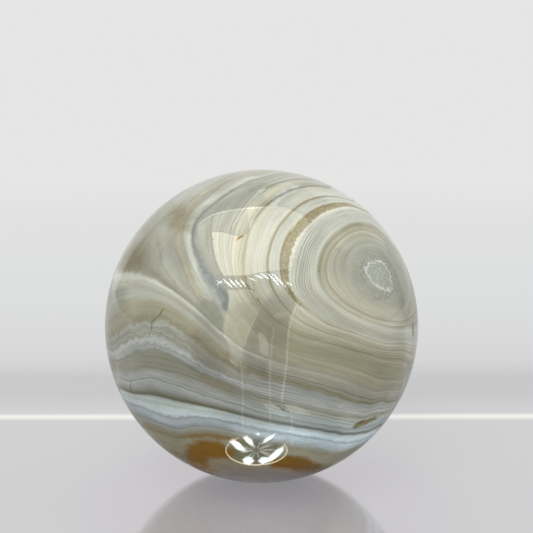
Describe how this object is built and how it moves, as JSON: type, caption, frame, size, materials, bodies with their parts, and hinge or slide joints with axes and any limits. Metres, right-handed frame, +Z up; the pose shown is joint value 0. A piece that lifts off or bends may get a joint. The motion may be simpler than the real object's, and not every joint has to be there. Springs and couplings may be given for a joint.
{
  "type": "agate sphere",
  "caption": "Solid polished ball of banded agate with a small open vug low on one side and a short slit near the top.",
  "frame": {"origin": "centre of the ball", "axes": "+Z up, with the vug below the equator; the front faces -Y, with the ringed eye at the upper right and the vug at the lower right, towards +X"},
  "size_m": [0.06, 0.06, 0.06],
  "materials": {
    "agate": "polished"
  },
  "bodies": {
    "root": {"agate_sphere": "agate"}
  },
  "joints": []
}
